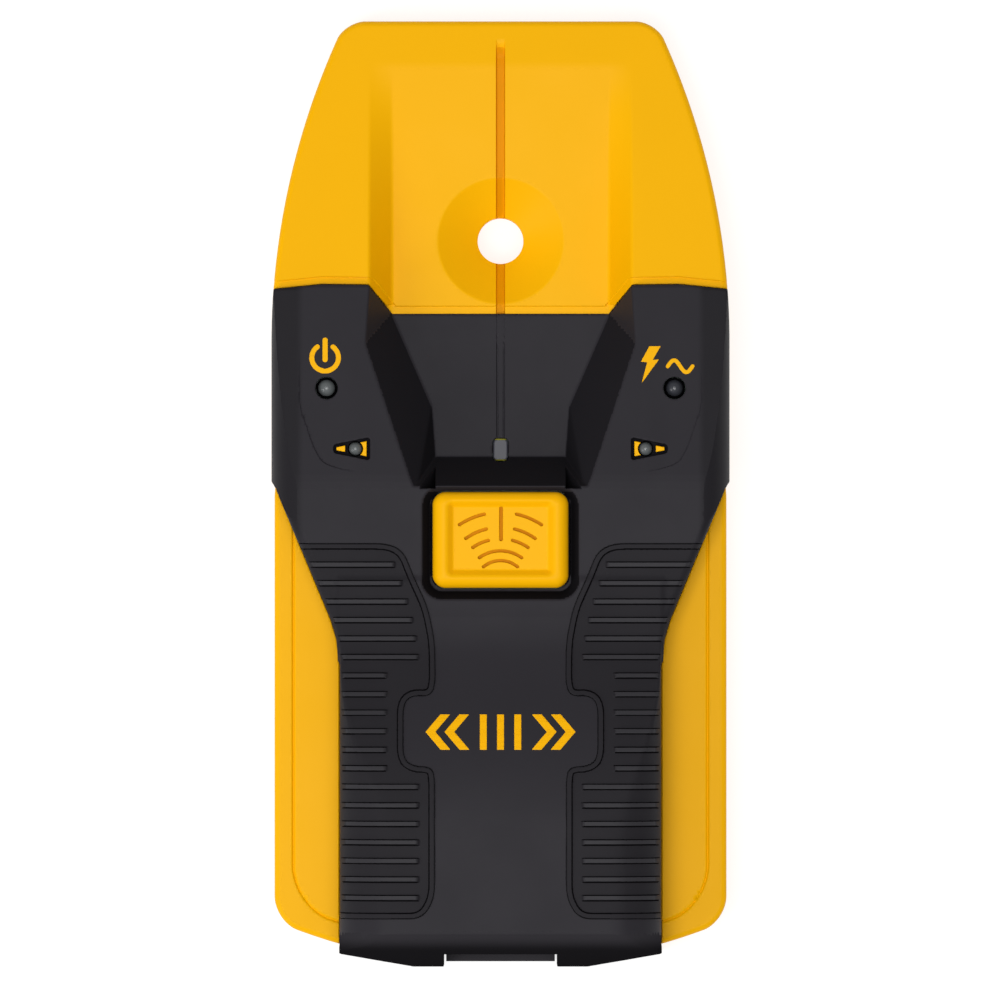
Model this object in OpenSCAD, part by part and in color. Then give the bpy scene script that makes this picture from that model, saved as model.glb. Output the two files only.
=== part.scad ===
// Handheld stud finder lying on its back: +Z out of the front, +Y towards the head.

/* [Case] */
// Overall length from heel to head
case_length = 165.2; // [164.8:0.1:165.6]
// Width across the black wings
case_width = 80; // [79.8:0.1:80.4]
// Width across the side flanges of the handle
flange_width = 79; // [78.6:0.1:79.2]
// Thickness of the plastic walls
wall = 2; // [1.8:0.05:2.1]
// Height of the joint between the rear cover and the front housing
split_z = 6; // [5.8:0.1:6.2]
// Height of the side flanges
flange_z = 15; // [14.8:0.1:15.4]
// Height of the head at its far edge
head_edge_z = 12; // [11.8:0.1:12.2]
// Rise of the head's shoulders for each millimetre of length
shoulder_rise = 0.17; // [0.165:0.001:0.175]
// Gap between parts that only lie side by side
gap = 0.1; // [0.05:0.01:0.15]

/* [Marking channel] */
// Height of the channel floor
floor_z = 13.3; // [13.2:0.05:13.4]
// Half the width of the channel floor
floor_half = 19; // [18.8:0.1:19.2]
// Half the width of the channel between the shoulders
channel_half = 22.9; // [22.7:0.1:23.1]
// Distance of the marking hole from the middle of the case
hole_y = 44.2; // [44:0.1:44.6]
// Radius of the marking hole
hole_r = 4; // [3.8:0.1:4.2]
// Radius of the dish around the marking hole
dish_r = 11; // [10.5:0.1:11.5]
// Depth of the dish
dish_depth = 4; // [3.5:0.1:4.2]
// Width of the centre groove
groove_w = 1.5; // [1.2:0.1:1.8]

/* [Handle] */
// Half the width of the handle
handle_half = 28.17; // [28:0.05:28.3]
// Height of the handle's back
handle_z = 34.8; // [34.4:0.1:35.2]
// Height of the platform around the button
deck_z = 25.5; // [25.3:0.1:25.7]
// Height of the wings at their front edge
wing_front_z = 20.9; // [20.8:0.1:21.1]
// How far the grip pads' ribs stand out of the handle
rib_height = 0.5; // [0.3:0.05:0.6]
// Number of ribs on each grip pad
rib_count = 19; // [15:1:19]
// Distance from rib to rib
rib_pitch = 3.22; // [3.1:0.01:3.22]

/* [Button] */
// Width of the button cap
button_w = 23.7; // [23.2:0.1:24]
// Length of the button cap
button_l = 16.75; // [16.4:0.05:17]
// How far the button goes in
button_travel = 1; // [0.6:0.1:1]

/* [Boards and battery] */
// Thickness of the circuit boards
board_t = 1.6; // [1.4:0.1:1.6]
// Underside of the main board
main_board_z = 4; // [3.9:0.1:4.1]
// Underside of the display board
display_board_z = 13.6; // [13.5:0.05:13.7]
// Width of the battery
battery_w = 26.5; // [26:0.1:26.5]
// Length of the battery
battery_l = 48.5; // [46:0.5:48.5]
// Thickness of the battery
battery_t = 17.5; // [16.5:0.1:17.5]
// Width of the visible part of the battery door
door_w = 26; // [25:0.5:26]

/* [Hidden] */
$fn = 48;
EPS = 0.01;
BIG = 200;

yellow = "#fbb412";
black = "#323034";
board_green = "#1f6b3a";
metal = "silver";

half_length = case_length / 2;
head_r = 131;
head_arc_y = 26;
nose_r = 4;
heel_r = 102;
heel_corner_r = 4.5;
heel_cut_y = -half_length + 2.1;
wing_end_y = 1.7;
step_drop = (case_width - flange_width) / 2;
flange_line = [3.05, 3.55];
flange_line_depth = 0.3;
flange_line_end_y = -30;
seat_z = 13;
ledge_z = 11.2;
boss_top_z = 11.5;
front_wall = 3.8;
skirt_z = split_z + gap;
heel_skirt_z = 0.6;
heel_wall_y = -78.2;
heel_edge_r = 2.6;
heel_wall_angle = 161.2;
notch_y = -80.3;

hole_boss_r = hole_r + wall;
hole_clear = 0.2;
hole_top_z = floor_z - dish_depth;
groove_depth = 0.8;
line_x = 0.6;
line_w = 0.2;
line_depth = 0.15;
line_end_y = 9.6;
channel_start_y = 75;
black_front_y = 31.4;
channel_end_y = 6.4;
channel_bend = [12, 14.8];

button_y = -8.1;
button_top_z = deck_z + 0.8;
button_corner = 2.3;
button_flange = 1.3;
button_flange_z = [20.7, 21.8];
recess_half = 13.5;
recess_y = [-18.3, 1.3];
recess_z = deck_z - 1.4;
recess_plate = 2;
button_gap = 0.25;

display_top_z = display_board_z + board_t;
main_top_z = main_board_z + board_t;
plunger_r = 1.75;
plunger_top_z = button_flange_z[0] - 0.02;
switch_h = 3.5;
plunger_seat = switch_h - 0.4;

led_r = 1.5;
led_hole_r = 1.95;
led_x = 30.35;
led_y = 18.4;
arrow_y = 7.8;
arrow_led_x = 25.3;
arrow_tip_x = 28.95;
arrow_base_x = 23;
arrow_half = 1.75;
arrow_tip_half = 0.55;
arrow_led_r = 1.15;
arrow_rim = 0.25;
arrow_gap_x = 27;
lens_y = 7.65;
lens_half = [1.3, 1.95];

battery_z = 3.6;
battery_end_y = -23.5;
terminal_x = 6.35;
snap_y = -19.5;
door_end_y = -20.3;
door_t = 2;
door_tongue = 1.5;
door_slack = 0.2;
tongue_z = 1.1;
tongue_start_y = -72;
slot_top_z = door_t + 0.3;
rail_half = door_w / 2 + door_tongue + door_slack;
rail_w = 1.8;
bay_y = [-74, -20];
bay_wall_z = 12;
tab_half = 9.5;
pad_half = 9;
notch_half = 9.87;

case_screw_at = [[25, 74], [33.5, -66]];
board_screw_at = [[27, 58], [30, -10]];
display_screw_at = [[31.5, 27], [22, -14]];

// ---- points and outlines ----

function arc(cx, cy, r, a0, a1, n) =
    [for (i = [0:n]) [cx + r * cos(a0 + (a1 - a0) * i / n), cy + r * sin(a0 + (a1 - a0) * i / n)]];

function curve(p0, p1, p2, p3, n) =
    [for (i = [0:n]) let (t = i / n, u = 1 - t)
        u * u * u * p0 + 3 * u * u * t * p1 + 3 * u * t * t * p2 + t * t * t * p3];

function both_sides(half) = concat(half, [for (i = [len(half) - 1:-1:0]) [-half[i][0], half[i][1]]]);

function unit(v) = v / norm(v);

function left_of(v) = [-v[1], v[0]];

function inset_corner(a, b, c, e) =
    let (n1 = left_of(unit(b - a)), n2 = left_of(unit(c - b))) b + (n1 + n2) * e / (1 + n1 * n2);

// Every side of a counter-clockwise outline moved inwards by e
function inset(pts, e) =
    let (n = len(pts)) [for (i = [0:n - 1]) inset_corner(pts[(i + n - 1) % n], pts[i], pts[(i + 1) % n], e)];

// Case outline: a heel arc, heel corners, straight flanges, long head arcs and nose corners
heel_cy = heel_r - half_length - 0.1;
heel_corner_x = flange_width / 2 - heel_corner_r;
heel_corner_y = heel_cy - sqrt(pow(heel_r - heel_corner_r, 2) - pow(heel_corner_x, 2));
heel_angle = atan2(heel_corner_y - heel_cy, heel_corner_x);
head_cx = case_width / 2 - head_r;
nose_y = half_length - nose_r;
nose_x = head_cx + sqrt(pow(head_r - nose_r, 2) - pow(nose_y - head_arc_y, 2));
nose_angle = atan2(nose_y - head_arc_y, nose_x - head_cx);

case_outline = both_sides(concat(
    arc(0, heel_cy, heel_r, -87, heel_angle, 8),
    arc(heel_corner_x, heel_corner_y, heel_corner_r, heel_angle + 10, 0, 6),
    [[flange_width / 2, wing_end_y - step_drop], [case_width / 2, wing_end_y + step_drop]],
    arc(head_cx, head_arc_y, head_r, 0, nose_angle, 14),
    arc(nose_x, nose_y, nose_r, nose_angle + 10, 90, 6)));

// Outline of the black cover over the wings; its outer side runs past the case
wing_outline = both_sides([
    [handle_half, -29.1], [28.6, -25.6], [29.65, -22.1], [38.4, -1.1], [39.2, 0.9], [41, 3],
    [41, 35.5], [31.2, 36.5], [23.1, 36.4], [18.9, black_front_y]]);

handle_outline = both_sides([
    [15.2, -half_length], [21.7, -81.5], [handle_half, -80.3], [handle_half, -15]]);

// Side view of the black cover, as [Y, Z], from the head to the heel
function cover_profile() = concat(
    [[60, -BIG], [60, wing_front_z - 3.1], [36.5, wing_front_z], [2, deck_z]],
    curve([-19, deck_z], [-32, deck_z + 0.3], [-42, handle_z - 0.2], [-60, handle_z], 10),
    arc(-76.4, handle_z - heel_edge_r, heel_edge_r, 90, heel_wall_angle, 3),
    [[-half_length, 22], [-half_length, -BIG]]);

// Cross-section that rounds the shoulders, as [X, Z]
function crown(flat, half, top, drop, e) = both_sides(concat(
    [[half - e, -BIG]],
    [for (i = [0:8]) [flat + (half - flat - e) * cos(i * 11.25), top - drop + (drop - e) * sin(i * 11.25)]]));

pad_depth = 1;
pad_slack = 0.02;
pad_seat_z = 16;
rib_w = 1;
rib_first_y = -12.4;

// Outline of the right grip pad
pad_outline = [
    [case_width / 2, -74.1], [case_width / 2, -8.65], [19.5, -8.65], [16.75, -10.2], [15.3, -14],
    [12.6, -19.9], [11.4, -25.8], [11.3, -33.5], [12.3, -35.4], [15.3, -35.2], [16.9, -36.6], [16.9, -46],
    [15.3, -47.4], [12.3, -47.5], [11.4, -48.8], [11.4, -70.5], [13.6, -74.1]];

// Where a rib starts, from the middle of the handle, at the rib's distance along the handle
function rib_start(y) =
    y > -30 ? 14.1 + 4.2 * pow(max(0, (y + 30) / 17.6), 1.7) : y > -49.5 ? 19.7 : 14.1;

// ---- building blocks ----

module slab(pts, z0, z1) {
    translate([0, 0, z0])
        linear_extrude(z1 - z0)
            polygon(pts);
}

module along_x(pts, width) {
    rotate([90, 0, 90])
        linear_extrude(width, center = true)
            polygon(pts);
}

module along_y(pts, y0, y1) {
    translate([0, y1, 0])
        rotate([90, 0, 0])
            linear_extrude(y1 - y0)
                polygon(pts);
}

module box(x, y, z) {
    translate([x[0], y[0], z[0]])
        cube([x[1] - x[0], y[1] - y[0], z[1] - z[0]]);
}

module post(at, z0, z1, r) {
    translate([at[0], at[1], z0])
        cylinder(h = z1 - z0, r = r);
}

module post_y(at, y0, y1, r) {
    translate([at[0], y1, at[1]])
        rotate([90, 0, 0])
            cylinder(h = y1 - y0, r = r);
}

module pairs(places) {
    for (at = places, side = [-1, 1])
        translate([side * at[0], at[1], 0])
            children();
}

module rounded_block(w, l, r, z0, z1) {
    for (size = [[w, l - 2 * r], [w - 2 * r, l]])
        translate([-size[0] / 2, -size[1] / 2, z0])
            cube([size[0], size[1], z1 - z0]);
    for (sx = [-1, 1], sy = [-1, 1])
        post([sx * (w / 2 - r), sy * (l / 2 - r)], z0, z1, r);
}

// Everything above a sloping plane through p that climbs towards heading; e lowers the plane
module above(p, heading, slope, e) {
    translate(p)
        rotate([0, 0, heading])
            rotate([0, -slope, 0])
                translate([-BIG, -BIG, -e])
                    cube([2 * BIG, 2 * BIG, BIG]);
}

module both_above(p, heading, slope, e) {
    intersection() {
        above(p, heading, slope, e);
        mirror([1, 0, 0])
            above(p, heading, slope, e);
    }
}

// The marking channel where it runs between the black wings
module wing_channel(e) {
    intersection() {
        above([0, 0, floor_z], 0, 0, e);
        above([0, channel_end_y, floor_z], -90, 67, e);
        union() {
            intersection() {
                both_above([floor_half, black_front_y, floor_z], 0, 63, e);
                both_above([floor_half, black_front_y, floor_z], -23.4, 55, e);
            }
            both_above([channel_bend[0], channel_bend[1], floor_z], -4, 73, e);
        }
    }
}

// Cross-section of the marking channel in the head, with a wall of the given height
function head_channel_section(rise, e) = [
    [-floor_half - e, floor_z - e], [floor_half + e, floor_z - e], [channel_half + e, floor_z + rise],
    [channel_half + e, 60], [-channel_half - e, 60], [-channel_half - e, floor_z + rise]];

module head_channel(e) {
    y0 = 20;
    hull() {
        along_y(head_channel_section(0.05, e), channel_start_y + e, channel_start_y + e + EPS);
        along_y(head_channel_section((channel_start_y - y0) * shoulder_rise, e), y0 - EPS, y0);
    }
}

module shoulders(e) {
    y0 = -100;
    y1 = half_length - e;
    z_at_y0 = head_edge_z + (half_length - y0) * shoulder_rise - e;
    z_at_y1 = head_edge_z - e;
    along_x([[y0, 0], [y1, 0], [y1, z_at_y1], [y0, z_at_y0]], BIG);
}

// The black cover's outer shape; e moves every face inwards
module cover_solid(e) {
    intersection() {
        along_x(inset(cover_profile(), e), BIG);
        union() {
            intersection() {
                slab(inset(wing_outline, e), 0, 60);
                slab(inset(case_outline, e), 0, 60);
                along_y(crown(34, case_width / 2, deck_z + 0.2, 7.2, e), -40, 60);
            }
            intersection() {
                slab(inset(handle_outline, e), 0, 60);
                along_y(crown(18, handle_half, handle_z + 0.2, 9, e), -100, 60);
            }
        }
    }
}

// ---- rear cover ----

module rear_cover() {
    rail_top = door_t + 1.3;
    pad_path_z = battery_z + 0.2;
    color(yellow) difference() {
        union() {
            difference() {
                slab(case_outline, 0, split_z);
                slab(inset(case_outline, wall), wall, split_z + EPS);
            }
            post([0, hole_y], 0, split_z - 2.4, hole_boss_r + 2);
            pairs(case_screw_at) post([0, 0], 0, split_z, 4.5);
            pairs(board_screw_at) post([0, 0], 0, main_board_z, 2.6);
            for (side = [-1, 1])
                mirror([side < 0 ? 1 : 0, 0, 0]) {
                    box([door_w / 2 + 0.6, rail_half + rail_w], bay_y, [wall / 2, rail_top]);
                    box([rail_half, rail_half + rail_w], bay_y, [wall / 2, bay_wall_z]);
                }
            box([-rail_half, rail_half], [bay_y[0], bay_y[0] + 1.4], [pad_path_z, bay_wall_z]);
        }
        box([-60, 60], [-100, heel_cut_y], [-1, 20]);
        post([0, hole_y], -1, 20, hole_boss_r + hole_clear);
        pairs(case_screw_at) post([0, 0], -1, 3.5, 2.9);
        pairs(case_screw_at) post([0, 0], 0, 20, 1.5);
        pairs(board_screw_at) post([0, 0], wall, 20, 1);
        door_path([-door_w / 2 - door_slack, door_w / 2 + door_slack], [-1, 1]);
        door_path([-rail_half, rail_half], [1 - EPS, slot_top_z]);
        box([-pad_half - 0.4, pad_half + 0.4], [-100, bay_y[0]], [door_t, pad_path_z]);
    }
}

// The way that the battery door slides along, out through the heel
module door_path(x, z) {
    box(x, [-100, door_end_y + door_slack], z);
}

// ---- front housing ----

module front_housing() {
    funnel_z = 5.4;
    color(yellow) difference() {
        union() {
            difference() {
                housing_shell();
                housing_hollow(ledge_z);
                // opening under the black cover, with a ledge that carries the cover
                slab(inset(wing_outline, 4.6), split_z, 60);
                slab(inset(handle_outline, 3.6), split_z, 60);
                cover_seat(seat_z);
            }
            pairs(case_screw_at) post([0, 0], split_z, boss_top_z, 3.2);
            translate([0, hole_y, funnel_z])
                cylinder(h = hole_top_z + wall - funnel_z, r1 = hole_boss_r, r2 = dish_r + wall);
            post([0, hole_y], 0, floor_z - 1, hole_boss_r);
        }
        head_channel(0);
        translate([0, hole_y, hole_top_z])
            cylinder(h = dish_depth, r1 = hole_r, r2 = dish_r);
        post([0, hole_y], -1, 40, hole_r);
        centre_groove();
        flange_groove();
        pairs(case_screw_at) post([0, 0], split_z - 1, boss_top_z - 0.5, 1.25);
    }
}

module housing_shell() {
    head_start_y = 33;
    intersection() {
        slab(case_outline, split_z, 60);
        shoulders(0);
        union() {
            box([-60, 60], [heel_cut_y, head_start_y], [0, flange_z]);
            box([-60, 60], [head_start_y - EPS, 90], [0, 60]);
        }
    }
}

module housing_hollow(ceiling) {
    head_y = 39;
    intersection() {
        union() {
            slab(inset(case_outline, front_wall), 0, ceiling);
            intersection() {
                slab(inset(case_outline, wall), 0, ceiling);
                box([-60, 60], [heel_cut_y + wall, -4], [0, ceiling]);
            }
            difference() {
                intersection() {
                    slab(inset(case_outline, wall), 0, 60);
                    shoulders(wall);
                    box([-60, 60], [head_y, 90], [0, 60]);
                }
                head_channel(wall);
            }
        }
        box([-60, 60], [heel_cut_y + wall, 90], [0, 60]);
    }
}

// Room for the black cover: its footprint above the ledge, and its skirts at the wings' sides
module cover_seat(z) {
    slab(inset(wing_outline, -gap / 2), z, 60);
    slab(inset(handle_outline, -gap / 2), z, 60);
    difference() {
        slab(inset(wing_outline, -gap / 2), split_z - EPS, z + EPS);
        slab(inset(case_outline, wall + gap), 0, 60);
    }
}

module centre_groove() {
    bottom = floor_z - groove_depth;
    box([-groove_w / 2, groove_w / 2], [black_front_y - 1, 80], [bottom, 60]);
    intersection() {
        box([-groove_w / 2, groove_w / 2], [0, 80], [0, 60]);
        translate([0, hole_y, hole_top_z - groove_depth])
            cylinder(h = dish_depth, r1 = hole_r, r2 = dish_r);
    }
}

module flange_groove() {
    difference() {
        slab(inset(case_outline, flange_line[0]), flange_z - flange_line_depth, flange_z + 1);
        slab(inset(case_outline, flange_line[1]), flange_z - 1, flange_z + 2);
        box([-60, 60], [flange_line_end_y, 100], [0, 60]);
    }
}

// ---- black cover ----

module grip_cover() {
    color(black) difference() {
        union() {
            difference() {
                cover_solid(0);
                box([-60, 60], [-90, 60], [-1, seat_z]);
            }
            // the channel's floor, which the hollow below cuts back to the channel's own walls
            slab(inset(wing_outline, 4.8), floor_z - wall - 0.5, seat_z + EPS);
            intersection() {
                cover_solid(0);
                difference() {
                    slab(wing_outline, skirt_z, seat_z + EPS);
                    slab(inset(case_outline, wall), 0, 60);
                }
            }
            difference() {
                slab(handle_outline, heel_skirt_z, seat_z + EPS);
                slab(inset(case_outline, -gap), 0, 60);
                box([-60, 60], [heel_cut_y - gap, 0], [0, 60]);
            }
        }
        difference() {
            cover_solid(wall);
            wing_channel(wall);
            box([-40, 40], [-90, heel_wall_y], [-1, 60]);
            box([-recess_half - 1.4, recess_half + 1.4], [recess_y[0] - 1.4, recess_y[1]],
                [recess_z - recess_plate, 60]);
            pairs(display_screw_at) post([0, 0], display_top_z, 60, 2.4);
        }
        wing_channel(0);
        box([-recess_half, recess_half], recess_y, [recess_z, 60]);
        translate([0, button_y, 0])
            rounded_block(button_w + 2 * button_gap, button_l + 2 * button_gap,
                button_corner + button_gap, 15, 60);
        pairs([[led_x, led_y]]) post([0, 0], 15, 60, led_hole_r);
        for (side = [-1, 1])
            mirror([side < 0 ? 1 : 0, 0, 0])
                slab(inset(arrow_outline, -arrow_rim), 15, 60);
        pairs([[arrow_led_x, arrow_y]]) post([0, 0], 15, 60, arrow_led_r + gap);
        lens_block(lens_half[0] + gap, lens_half[1] + gap, 5, 60);
        pairs([[line_x, 0]]) box([-line_w / 2, line_w / 2], [line_end_y, 40], [floor_z - line_depth, 60]);
        pairs(display_screw_at) post([0, 0], 10, display_top_z + 4, 0.9);
        box([-notch_half, notch_half], [-90, notch_y], [-1, 60]);
        door_path([-rail_half, rail_half], [-1, slot_top_z]);
        pad_seat(pad_depth);
        mirror([1, 0, 0])
            pad_seat(pad_depth);
    }
}

// The layer of the handle's skin, depth thick, that lies under the right pad
module pad_seat(depth) {
    difference() {
        slab(pad_outline, pad_seat_z, 60);
        intersection() {
            cover_solid(depth);
            slab(inset(wing_outline, depth), 0, 60);
        }
        intersection() {
            cover_solid(depth);
            slab(inset(handle_outline, depth), 0, 60);
        }
    }
}

// ---- grip pads ----

module grip_pad() {
    color(black) difference() {
        intersection() {
            slab(inset(pad_outline, pad_slack), pad_seat_z + 0.05, 60);
            union() {
                cover_solid(0);
                intersection() {
                    cover_solid(-rib_height);
                    pad_ribs();
                }
            }
        }
        cover_solid(pad_depth - pad_slack);
    }
}

module pad_ribs() {
    for (i = [0:rib_count - 1])
        let (y = rib_first_y - i * rib_pitch)
            box([rib_start(y), 40], [y - rib_w / 2, y + rib_w / 2], [0, 60]);
}

// ---- button and switch ----

module power_button() {
    color(yellow) translate([0, button_y, 0]) difference() {
        union() {
            rounded_block(button_w, button_l, button_corner, button_flange_z[0], button_top_z);
            rounded_block(button_w + 2 * button_flange, button_l - 1, 1,
                button_flange_z[0], button_flange_z[1]);
        }
        translate([0, 0.25, 0])
            rounded_block(18.2, 12.7, 1.2, button_top_z - 0.6, 60);
        difference() {
            rounded_block(button_w - 3.2, button_l - 3.2, 1, 0, button_top_z - 2.4);
            post([0, 0], 0, 60, 3);
        }
    }
}

module switch_body() {
    color("#202020") translate([0, button_y, 0]) difference() {
        rounded_block(6, 6, 0.4, display_top_z, display_top_z + switch_h);
        post([0, 0], display_top_z + plunger_seat - button_travel - 0.9, 60, plunger_r + 0.08);
    }
}

module switch_plunger() {
    color("dimgray") post([0, button_y], display_top_z + plunger_seat, plunger_top_z, plunger_r);
}

// ---- boards ----

module main_board() {
    color(board_green) difference() {
        intersection() {
            slab(inset(case_outline, 3.9), main_board_z, main_top_z);
            box([-60, 60], [-16, 67], [0, 60]);
        }
        post([0, hole_y], 0, 60, hole_boss_r + 0.8);
        pairs(board_screw_at) post([0, 0], 0, 60, 1.2);
    }
}

module display_board() {
    color(board_green) difference() {
        slab(inset(wing_outline, 4.9), display_board_z, display_top_z);
        box([-60, 60], [-60, -19], [0, 60]);
        box([-23.2, 23.2], [11, 60], [0, 60]);
        box([-16, 16], [3, 60], [0, 60]);
        pairs(display_screw_at) post([0, 0], 0, 60, 1.2);
    }
}

module board_link() {
    pin_y = -14;
    color("#202020") box([-8, 8], [pin_y - 1.2, pin_y + 1.2], [main_top_z, display_board_z]);
}

module sensor_plates() {
    plate_t = 0.3;
    z = [main_board_z - plate_t, main_board_z];
    color("orange") {
        for (side = [-1, 1])
            mirror([side < 0 ? 1 : 0, 0, 0]) {
                box([14, 26], [28, 52], z);
                box([3, 22], [8, 24], z);
            }
        box([-12, 12], [54, 65], z);
    }
}

module controller_chip() {
    color("#202020") box([4, 14], [17, 27], [main_top_z, main_top_z + 1.4]);
}

module board_components() {
    color("gray") {
        for (i = [0:5])
            box([-30 + 3 * i, -28.2 + 3 * i], [2, 3], [main_top_z, main_top_z + 0.8]);
        for (i = [0:3])
            box([18, 21], [4 + 4 * i, 6 + 4 * i], [main_top_z, main_top_z + 1.2]);
        post([-24, 12], main_top_z, main_top_z + 4.5, 2.5);
        post([24, -4], main_top_z, main_top_z + 4.5, 2.5);
    }
}

module buzzer() {
    color("#202020") difference() {
        post([-10, 22], main_top_z, main_top_z + 4.2, 6);
        post([-10, 22], main_top_z + 3, 60, 1);
    }
}

// ---- lights ----

// A round light on two legs: the height of its board, of the top of its dome, and its radius
module led(at, board_z, top_z, r) {
    rim = r + 0.35;
    rim_t = 0.8;
    body_h = 3;
    body_z = top_z - r - body_h;
    color("lightgray") translate([at[0], at[1], body_z])
        rotate_extrude()
            polygon(concat([[0, 0], [rim, 0], [rim, rim_t], [r, rim_t]], arc(0, body_h, r, 0, 80, 8),
                [[0, body_h + r]]));
    color(metal)
        for (side = [-1, 1])
            post([at[0], at[1] + side * 0.6 * r], board_z, body_z + 0.3, 0.25);
}

function cover_top(y) = wing_front_z + (36.5 - y) * (deck_z - wing_front_z) / 34.5;

module led_power() led([-led_x, led_y], display_top_z, cover_top(led_y) - 0.3, led_r);

module led_ac() led([led_x, led_y], display_top_z, cover_top(led_y) - 0.3, led_r);

module led_left() led([-arrow_led_x, arrow_y], display_top_z, cover_top(arrow_y) - 0.2, arrow_led_r);

module led_right() led([arrow_led_x, arrow_y], display_top_z, cover_top(arrow_y) - 0.2, arrow_led_r);

module led_centre() led([0, arrow_y], main_top_z, 10, 1.2);

// Outline of the right arrow, which narrows outwards to a blunt tip
arrow_outline = [
    [arrow_base_x, arrow_y - arrow_half], [arrow_tip_x, arrow_y - arrow_tip_half],
    [arrow_tip_x, arrow_y + arrow_tip_half], [arrow_base_x, arrow_y + arrow_half]];

// A blunt arrow in the wing's opening, on a flange behind the wing's wall
module arrow_insert(side) {
    top_z = cover_top(arrow_y);
    color(yellow) difference() {
        union() {
            mirror([side < 0 ? 1 : 0, 0, 0])
                slab(arrow_outline, top_z - 3, top_z - 0.35);
            translate([side * (arrow_base_x + 2.6), arrow_y, 0])
                rounded_block(8, 6, 1, top_z - 3.5, top_z - 2.6);
        }
        post([side * arrow_led_x, arrow_y], 0, 60, arrow_led_r + gap);
        translate([side * (arrow_led_x + arrow_gap_x) / 2, arrow_y, 0])
            box([(arrow_led_x - arrow_gap_x) / 2, (arrow_gap_x - arrow_led_x) / 2], [-1.2, 1.2], [0, 60]);
    }
}

module lens_block(half_w, half_l, z0, z1) {
    translate([0, lens_y, 0])
        rounded_block(2 * half_w, 2 * half_l, 0.8, z0, z1);
}

module centre_lens() {
    color("gray") lens_block(lens_half[0], lens_half[1], floor_z - 2.4, floor_z + 0.3);
}

// ---- battery ----

module battery() {
    color("slategray") translate([0, battery_end_y - battery_l / 2, 0])
        rounded_block(battery_w, battery_l, 1.5, battery_z, battery_z + battery_t);
}

battery_mid_z = battery_z + battery_t / 2;

module battery_terminals() {
    color(metal) {
        post_y([-terminal_x, battery_mid_z], battery_end_y, battery_end_y + 2.4, 2.9);
        post_y([terminal_x, battery_mid_z], battery_end_y, battery_end_y + 2.4, 4);
    }
}

module battery_snap() {
    color("#202020") difference() {
        box([-12.5, 12.5], [battery_end_y + 0.2, snap_y], [battery_mid_z - 5.5, battery_mid_z + 5.5]);
        post_y([-terminal_x, battery_mid_z], battery_end_y - 1, battery_end_y + 2.5, 3);
        post_y([terminal_x, battery_mid_z], battery_end_y - 1, battery_end_y + 2.5, 4.1);
    }
}

// A wire out of the snap that turns down into the main board
module lead(x) {
    wire_r = 0.65;
    bend_r = 2;
    z = 10;
    turn_y = -16.5;
    post_y([x, z], snap_y, turn_y, wire_r);
    translate([x, turn_y, z - bend_r])
        rotate([0, -90, 0])
            rotate_extrude(angle = 90)
                translate([bend_r, 0])
                    circle(r = wire_r);
    post([x, turn_y + bend_r], main_top_z, z - bend_r, wire_r);
}

module lead_red() color("firebrick") lead(-9.5);

module lead_black() color("#202020") lead(9.5);

module battery_door() {
    half = door_w / 2;
    heel_y = heel_cut_y - gap;
    tab_end_y = -81.8;
    groove_start_y = -76;
    groove_pitch = 2.4;
    color(black) difference() {
        union() {
            box([-half, half], [heel_y, door_end_y], [0, door_t]);
            box([-half - door_tongue, half + door_tongue], [tongue_start_y, door_end_y], [tongue_z, door_t]);
            box([-tab_half, tab_half], [tab_end_y, heel_y + EPS], [0, seat_z]);
        }
        for (i = [0:5])
            let (y = groove_start_y + groove_pitch * i)
                box([-pad_half, pad_half], [y, y + 1.1], [-1, 0.4]);
    }
}

module door_pad() {
    color("dimgray") box([-pad_half, pad_half], [-64, -32], [door_t, battery_z - 0.1]);
}

// ---- screws ----

module screw(z0, z1, head_h, head_r, shank_r) {
    difference() {
        union() {
            post([0, 0], z0, z0 + head_h, head_r);
            post([0, 0], z0, z1, shank_r);
        }
        for (a = [0, 90])
            rotate([0, 0, a])
                box([-head_r * 0.6, head_r * 0.6], [-0.25, 0.25], [z0 - 1, z0 + head_h * 0.5]);
    }
}

module case_screws() {
    color(metal) pairs(case_screw_at) screw(1.7, 10.5, 1.8, 2.6, 1.2);
}

module board_screws() {
    color(metal) pairs(board_screw_at) translate([0, 0, main_top_z + 1.4]) mirror([0, 0, 1])
        screw(0, 4.8, 1.4, 2, 0.9);
}

module display_screws() {
    color(metal) pairs(display_screw_at) screw(display_board_z - 1.4, display_top_z + 3.5, 1.4, 1.9, 0.85);
}

rear_cover();
front_housing();
grip_cover();
mirror([1, 0, 0]) grip_pad();  // grip_pad_left
grip_pad();  // grip_pad_right
power_button();
switch_body();
switch_plunger();
main_board();
display_board();
board_link();
sensor_plates();
controller_chip();
board_components();
buzzer();
led_power();
led_ac();
led_left();
led_right();
led_centre();
centre_lens();
arrow_insert(-1);  // arrow_left
arrow_insert(1);  // arrow_right
battery();
battery_terminals();
battery_snap();
lead_red();
lead_black();
battery_door();
door_pad();
case_screws();
board_screws();
display_screws();
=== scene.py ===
import math

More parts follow.
